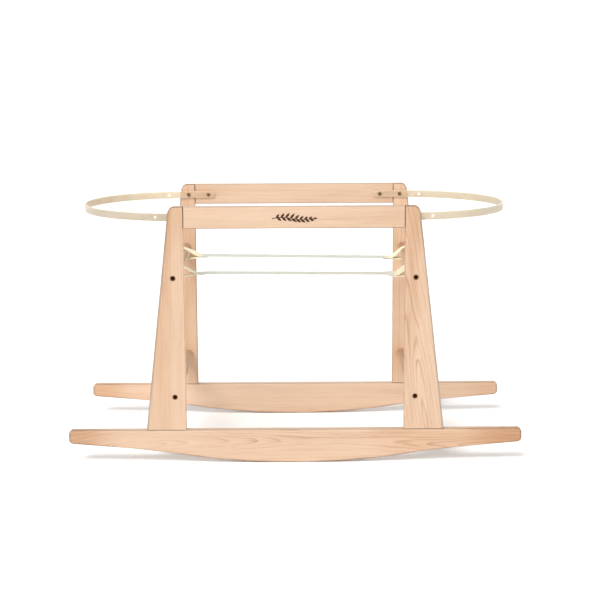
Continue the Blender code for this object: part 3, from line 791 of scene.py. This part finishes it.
def band_material(name, outer, inner):
    """Milky strip, yellowish white in the open; where it is screwed on, painted with the colour of the wood
    right behind it, which stands in for the wood seen through the strip.
    """
    made, tree, shader = material(name, 0.4, Subsurface_Weight=1.0, Subsurface_Scale=1.0)
    shader.inputs["Subsurface Radius"].default_value = (0.006, 0.005, 0.004)
    place = coordinates(tree)
    parts = split(tree, place)
    backed = step_up(tree, maths(tree, "ABSOLUTE", parts["X"]), BACKED_X + 0.0006, BACKED_X - 0.0006)
    drawn = noise(tree, vectors(tree, "MULTIPLY", place, (14.0, 14.0, 900.0)), 2.0, 0.5)
    cloud = noise(tree, vectors(tree, "MULTIPLY", place, (30.0, 30.0, 60.0)), 2.0, 0.5)
    tone = maths(tree, "MULTIPLY_ADD", drawn, 0.35, maths(tree, "MULTIPLY", cloud, 0.65))
    open_colour = ramp(tree, tone, (0.3, (0.445, 0.397, 0.310)), (0.7, (0.495, 0.447, 0.356)))
    # painted show-through: the colour of the wood behind the strip, painted on where the frame backs it
    painted_wood_show_through = ramp(tree, tone, (0.3, (0.450, 0.318, 0.205)), (0.7, (0.500, 0.362, 0.243)))
    # painted light and shade: the outer and the inner face are painted darker or lighter by outer and inner
    facing = split(tree, coordinates(tree, "Normal"))["Y"]
    side = step_up(tree, maths(tree, "MULTIPLY", facing, maths(tree, "SIGN", parts["Y"])), -0.2, 0.2)
    face = blend(tree, side, (inner, inner, inner, 1), (outer, outer, outer, 1))
    colour = vectors(tree, "MULTIPLY", open_colour, face)
    tree.links.new(blend(tree, backed, colour, painted_wood_show_through), shader.inputs["Base Color"])
    tree.links.new(step_up(tree, drawn, 0.2, 0.8, 0.33, 0.45), shader.inputs["Roughness"])
    bump(tree, shader, drawn, 0.00008, 0.4)
    return made


# Leaf sprig burnt into the front rail

SPRIG_MIDDLE = (-0.003, 0.4797)
SPRIG_LONG = 0.078
SPRIG_RAISED = 0.00012


def sprig_stem(share):
    """Height of the stem above its ends, from its left end (0) to its tip (1)."""
    return 0.0022 * math.sin(2 * math.pi * share) - 0.0006


def leaf_outline(foot, angle, long, wide, steps=9):
    """A pointed leaf with a small notch of bare wood left for its midrib by the two halves."""
    halves = []
    for side in (1, -1):
        edge = []
        for k in range(steps + 1):
            share = k / steps
            bulge = wide * math.sin(math.pi * share ** 0.8) ** 0.9
            curl = 0.10 * long * share * share
            edge.append((long * share, side * (0.00009 + bulge) + curl))
        rib = []
        for k in range(steps + 1):
            rib.append((long * k / steps * 0.94, side * 0.00007 + 0.10 * long * (k / steps) ** 2))
        points = edge + rib[::-1][1:-1]
        turned = []
        for x, z in points:
            turned.append((foot[0] + x * math.cos(angle) - z * math.sin(angle),
                           foot[1] + x * math.sin(angle) + z * math.cos(angle)))
        halves.append(turned)
    return halves


def add_mark(finish, face_y):
    """A leafy sprig lying along the rail."""
    x0 = SPRIG_MIDDLE[0] - SPRIG_LONG / 2
    outlines = []
    steps = 40
    upper, lower = [], []
    for k in range(steps + 1):
        share = k / steps
        x, z = x0 + SPRIG_LONG * share, SPRIG_MIDDLE[1] + sprig_stem(share)
        half = 0.00075 * (1 - 0.6 * share)
        upper.append((x, z + half))
        lower.append((x, z - half))
    outlines.append(lower + upper[::-1])
    pairs = 8
    for k in range(pairs):
        share = 0.10 + 0.80 * k / (pairs - 1)
        for side in (1, -1):
            moved = share + (0.035 if side < 0 else 0)
            foot = (x0 + SPRIG_LONG * moved, SPRIG_MIDDLE[1] + sprig_stem(moved))
            long = 0.0130 * (1 - 0.42 * abs(share - 0.42) / 0.5)
            outlines += leaf_outline(foot, side * math.radians(46 - 14 * share), long, 0.0022)
    tip = (x0 + SPRIG_LONG, SPRIG_MIDDLE[1] + sprig_stem(1))
    outlines += leaf_outline(tip, 0.0, 0.0085, 0.0016)
    shape = bmesh.new()
    for outline in outlines:
        front = [shape.verts.new((x, face_y - SPRIG_RAISED, z)) for x, z in outline]
        back = [shape.verts.new((x, face_y + SPRIG_RAISED / 2, z)) for x, z in outline]
        shape.faces.new(front)
        shape.faces.new(back[::-1])
        for k in range(len(outline)):
            n = (k + 1) % len(outline)
            shape.faces.new((front[k], back[k], back[n], front[n]))
    bmesh.ops.triangulate(shape, faces=[f for f in shape.faces if len(f.verts) > 4])
    add_piece("rail_leaf_sprig", mesh_of("rail_leaf_sprig", shape), finish, smooth=False)


def burnt_material():
    """Scorched wood: dark brown, a little lighter and redder where the iron barely touched."""
    made, tree, shader = material("scorched_beech", 0.75, Specular_IOR_Level=0.1)
    place = coordinates(tree)
    grainy = noise(tree, vectors(tree, "MULTIPLY", place, (160.0, 900.0, 1400.0)), 3.0, 0.6)
    colour = ramp(tree, grainy, (0.25, (0.020, 0.008, 0.003)), (0.8, (0.060, 0.026, 0.012)))
    tree.links.new(colour, shader.inputs["Base Color"])
    tree.links.new(step_up(tree, grainy, 0.2, 0.8, 0.62, 0.88), shader.inputs["Roughness"])
    bump(tree, shader, grainy, 0.0001, 0.6)
    return made


# Metal

def metal(name, light, dark, roughness, metallic=0.85, specular=0.5, rim=None):
    """Plated steel with fine scuffs and uneven plating; rim is its colour where the head is rubbed."""
    made, tree, shader = material(name, roughness, Metallic=metallic, Specular_IOR_Level=specular)
    place = coordinates(tree)
    scuffs = noise(tree, vectors(tree, "MULTIPLY", place, (900.0, 900.0, 900.0)), 3.0, 0.6)
    uneven = noise(tree, vectors(tree, "MULTIPLY", place, (240.0, 240.0, 240.0)), 2.0, 0.5)
    tone = maths(tree, "MULTIPLY_ADD", scuffs, 0.5, maths(tree, "MULTIPLY", uneven, 0.5))
    colour = ramp(tree, tone, (0.3, dark), (0.7, light))
    if rim:
        share = vectors(tree, "SUBTRACT", coordinates(tree, "Generated"), (0.5, 0.5, 0.5))
        across = vectors(tree, "MULTIPLY", share, (2.0, 0.0, 2.0))
        colour = blend(tree, step_up(tree, length(tree, across), 0.5, 1.0), colour, (*rim, 1))
    tree.links.new(colour, shader.inputs["Base Color"])
    dull = step_up(tree, scuffs, 0.2, 0.8, roughness - 0.1, roughness + 0.15)
    tree.links.new(dull, shader.inputs["Roughness"])
    bump(tree, shader, scuffs, 0.00005, 0.3)
    return made


add_camera()
add_room()
add_key_light()
add_floor()
rounds = smooth_rounds()
grain = beech_grain()

TIPS = ("±X", 0.31, 0.43, 0.75)
DARK_TIPS = ("±X", 0.33, 0.43, 0.15)
# a board's outer side (half as wide as this at a height, sloping from there), its top and its corner's radius
LEG_OUTLINE = {"wide": 0.2390, "height": 0.502, "slope": -0.1134, "top": 0.504, "corner": 0.013}
ROCKER_OUTLINE = {"wide": 0.440, "height": 0.0, "slope": 0.0, "top": 0.1, "corner": 0.008}
BOARDS = {
    "front_rocker": beech(
        "front_rocker", grain, "X", (0.09, 0.043, -0.1745), lean=(-0.02, 0), bow=(-0.10, -0.14), figure=1.2,
        warm=[TIPS, ("X", 0.08, 0.22, 0.4)], dark=[DARK_TIPS], outline=ROCKER_OUTLINE,
    ),
    # the rear rocker's lower tone and painted_light_gain paint it lighter: painted light against the front
    # frame's shade
    "rear_rocker": beech(
        "rear_rocker", grain, "X", (0.10, 0.15, 0.150), bow=(0.06, 0), tone=-0.2, painted_light_gain=(1.09, 1.09, 1.09),
        warm=[
            ("±X", 0.34, 0.43, 0.4), ("X", -0.20, -0.29, 0.25),
            ("Z", 0.03, 0.005, 0.15), ("Z", -1.0, 0.0, 0.1),
        ],
        dark=[("±X", 0.30, 0.40, 0.2)], outline=ROCKER_OUTLINE,
    ),
    # inner=1.4 paints this leg's face towards the middle lighter, as painted light; neither front leg gets
    # painted shade on its inner corners
    "front_left_leg": beech(
        "front_left_leg", grain, "Z", (0.1, -0.36, -0.22), lean=(0.02, 0), figure=0.7, inner=1.4,
        inner_painted_edge_shade=0.0, outline=LEG_OUTLINE,
        warm=[("X", -0.228, -0.243, 0.38), ("Z", 0.05, 0.25, 0.1), ("Z", 0.38, 0.48, 0.35)],
    ),
    "front_right_leg": beech(
        "front_right_leg", grain, "Z", (0.35, 0.214, -0.172), lean=(-0.15, 0.035), ring=0.003, figure=1.35,
        inner_painted_edge_shade=0.0, outline=LEG_OUTLINE,
        warm=[("Z", 0.16, 0.34, 0.3), ("Z", 0.38, 0.47, 0.2), ("Z", 0.14, 0.06, 0.15)],
    ),
    # the rear legs' lower tone and painted_light_gain paint them lighter: painted light against the front
    # legs' shade
    "rear_left_leg": beech(
        "rear_left_leg", grain, "Z", (0.7, -0.30, 0.25), lean=(0.02, 0), tone=-0.1, painted_light_gain=(1.08, 1.08, 1.08),
        warm=[("Z", 0.0, 0.1, 0.45)], outline=LEG_OUTLINE,
    ),
    "rear_right_leg": beech(
        "rear_right_leg", grain, "Z", (0.2, 0.31, 0.24), lean=(0.01, 0), tone=-0.1, painted_light_gain=(1.13, 1.13, 1.13),
        warm=[("Z", 0.0, 0.1, 0.4)], outline=LEG_OUTLINE,
    ),
    "front_top_rail": beech(
        "front_top_rail", grain, "X", (0.8, 0.62, -0.23), lean=(0.01, 0), figure=0.6,
        warm=[("X", 0.12, 0.2, 0.25)],
    ),
    # painted light: the rear rail is painted a little lighter, like the rest of the rear frame
    "rear_top_rail": beech(
        "rear_top_rail", grain, "X", (1.7, 0.60, 0.27), lean=(-0.02, 0), figure=0.6, painted_light_gain=(1.04, 1.04, 1.04),
        warm=[("±X", 0.13, 0.21, 0.3)],
    ),
}
# painted light and shade on the bands: how much lighter or darker the outer and the inner face are painted
BAND_FACE_PAINTED_LIGHT = {"left": (0.83, 1.12), "right": (1.0, 1.0)}      # how light the outer and the inner face are
# painted light: how much lighter and warmer each side's crossbars are painted, against the shade of the legs
# and rail
BAR_PAINTED_LIGHT = {"left": (1.30, 1.22, 1.02), "right": (1.20, 1.05, 0.80)}
for k, side in enumerate(SIDES):
    for j, level in enumerate(("upper", "lower")):
        low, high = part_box(f"{side}_{level}_crossbar")
        middle = (low + high) / 2
        pith = (0.9 * k + 0.4 * j, middle.x + 0.03, middle.z - 0.02)
        # painted_shade_slope=(-0.1, 0.5) paints each crossbar's upward faces darker: painted shade
        BOARDS[f"{side}_{level}_crossbar"] = beech(
            f"{side}_{level}_crossbar", grain, "Y", pith, lean=(0.02, 0), inner_painted_edge_shade=0.0,
            painted_light_gain=BAR_PAINTED_LIGHT[side], painted_shade_slope=(-0.1, 0.5),
        )
pin = beech("dowel_pin", grain, "Z", (0.3, 0.25, 0.0), tone=0.12)
bolt_steel = metal(
    "bronzed_bolt", (0.030, 0.008, 0.002), (0.012, 0.003, 0.001), 0.6, 0.25, 0.08, rim=(0.22, 0.105, 0.04)
)
brass = metal("antique_brass", (0.22, 0.13, 0.065), (0.11, 0.062, 0.028), 0.5)
zinc = metal("zinc_plate", (0.62, 0.60, 0.57), (0.48, 0.46, 0.43), 0.38)
FINISHES = {"_bolt": bolt_steel, "_screw": brass, "_insert": zinc}
for name in nodes:
    if name in BOARDS:
        dress(name, BOARDS[name], rounds)
    elif "_pin_" in name:
        dress(name, pin, rounds)
    for ending, finish in FINISHES.items():
        if name.endswith(ending):
            dress(name, finish, rounds)

for name, (painted_light_gain, cream_and_painted_light) in STRAP_PAINTED_LIGHT_AND_CREAM.items():
    light, dark = ([c * painted_light_gain for c in colour] for colour in (COTTON_LIGHT, COTTON_DARK))
    cotton = webbing_material(f"{name}_herringbone_cotton", light, dark, cream_and_painted_light)
    waxed_light, waxed_dark = [c * 1.16 for c in light], [c * 1.18 for c in dark]
    thread = webbing_material(f"{name}_waxed_thread", waxed_light, waxed_dark, cream_and_painted_light)
    add_strap(name, cotton, thread)
for side, (outer, inner) in BAND_FACE_PAINTED_LIGHT.items():
    add_band(side, band_material(f"{side}_milky_strip", outer, inner))
add_mark(burnt_material(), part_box("front_top_rail")[0].y)
